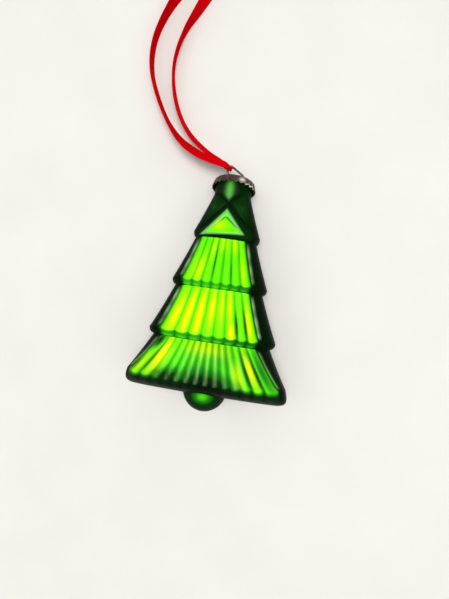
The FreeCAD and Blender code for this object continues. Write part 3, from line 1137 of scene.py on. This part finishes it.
def knot_tail(centre, side, reach, material):
    """One cut tail, which falls from the knot to the ground and spreads to its side."""
    share = np.linspace(0, 1, TAIL_POINTS)
    heading = side * TAIL_SPREAD
    fall = TAIL_FALL * (1 - smooth(share, 0.0, 0.75))
    line = np.stack([
        centre[0] + np.sin(heading) * reach * share,
        centre[1] + TAIL_START + np.cos(heading) * reach * share,
        fall + TAIL_HEIGHT + TAIL_WAVE * np.sin(TAIL_WAVES * share) ** 2,
    ], axis=1)
    across = np.tile((math.cos(heading), -math.sin(heading), TAIL_TILT * side), (TAIL_POINTS, 1))
    width = TAIL_NARROW_WIDTH + TAIL_WIDENING * smooth(share, 0.05, 0.5)
    return ribbon_mesh("tail", line, across, width, TAIL_CURL * (1 - share), material)


def knot_piece(material):
    """The overhand knot: a wound band with two cut tails."""
    low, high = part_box("ribbon_knot")
    centre = ((low.x + high.x) / 2, low.y + KNOT_INSET, KNOT_HEIGHT)
    pieces = [knot_band(centre, material)]
    pieces += [knot_tail(centre, side, reach, material) for side, reach in TAILS]
    bpy.ops.object.select_all(action="DESELECT")
    for piece in pieces:
        piece.select_set(True)
    knot = pieces[0]
    bpy.context.view_layer.objects.active = knot
    bpy.ops.object.join()
    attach(knot, "hanger")
    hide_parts("ribbon_knot")
    return knot


# Scene.

def place_in_scene(name, data):
    """An object for a camera or a light, turned by quaternion."""
    holder = bpy.data.objects.new(name, data)
    bpy.context.scene.collection.objects.link(holder)
    holder.rotation_mode = "QUATERNION"
    return holder


def camera():
    view = bpy.data.cameras.new("photo_view")
    view.sensor_fit = "VERTICAL"
    view.sensor_height = SENSOR_HEIGHT
    view.lens = FOCAL_LENGTH
    view.clip_start = CLIP_START
    holder = place_in_scene("photo_view", view)
    holder.location = CAMERA_PLACE
    ahead = (CAMERA_TARGET - CAMERA_PLACE).normalized()
    roll_up = Vector((-math.sin(CAMERA_ROLL), math.cos(CAMERA_ROLL), 0.0))
    right = ahead.cross(roll_up).normalized()
    up = right.cross(ahead)
    holder.rotation_quaternion = Matrix((right, up, -ahead)).transposed().to_quaternion()
    bpy.context.scene.camera = holder


def fill_lamp(name, place):
    """A soft square light aimed at the ornament."""
    light = bpy.data.lights.new(name, "AREA")
    light.size = FILL_SIZE
    light.energy = FILL_POWER
    holder = place_in_scene(name, light)
    holder.location = place
    holder.rotation_quaternion = (-Vector(place)).to_track_quat("-Z", "Y")


def sunlight():
    """A wide soft sun from almost straight above."""
    sun = bpy.data.lights.new("key", "SUN")
    sun.angle = SUN_SPREAD
    sun.energy = SUN_POWER
    sun.color = SUN_COLOUR
    place_in_scene("key", sun).rotation_quaternion = SUN_DIRECTION.to_track_quat("-Z", "Y")


def floor():
    """A pale floor that rises into a bowl far from the ornament."""
    around = np.linspace(0, 2 * math.pi, FLOOR_COLUMNS, endpoint=False)
    rows = []
    for radius, height in FLOOR_RINGS:
        level = np.full_like(around, height - FLOOR_DROP)
        rows.append(np.stack([radius * np.cos(around), radius * np.sin(around), level], axis=1))
    faces = [face[::-1] for face in grid_faces(len(rows), FLOOR_COLUMNS)]
    faces.append(list(range(FLOOR_COLUMNS)))
    add_piece("floor", rows, faces, floor_material())


def studio():
    """The floor, the sun, two fills and a pale sky."""
    floor()
    sunlight()
    fill_lamp("left_fill", (-0.5, 0.1, 0.7))
    fill_lamp("right_fill", (0.5, -0.2, 0.7))
    world = bpy.data.worlds.new("studio")
    world.use_nodes = True
    sky = world.node_tree.nodes["Background"]
    sky.inputs["Color"].default_value = (0.98, 0.99, 1.0, 1.0)
    sky.inputs["Strength"].default_value = SKY_STRENGTH
    bpy.context.scene.world = world
    bpy.context.scene.view_settings.view_transform = "Standard"


camera()
red_satin = ribbon_material()
knot = knot_piece(red_satin)
strand("ribbon_front", "ribbon_front_strand", FRONT_ROUTE, FRONT_TILTS, red_satin)
strand("ribbon_back", "ribbon_back_strand", BACK_ROUTE, BACK_TILTS, red_satin)

tree = glass_body()
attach(tree, "glass")
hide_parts("glass_body")

cap = cap_piece(metal_material("crimped_metal", CAP_TARNISH_AND_REFLECTION, CAP_SHINE, CAP_ROUGHNESS))
drill_wire_holes(cap)
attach(cap, "cap")
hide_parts("cap")

# The wire is the CAD's own, with a steel material.
wire = frame["nodes"]["hanger_wire"]
wire.data.materials.clear()
wire.data.materials.append(metal_material("steel_wire", WIRE_TARNISH_AND_REFLECTION, WIRE_SHINE, WIRE_ROUGHNESS))

studio()
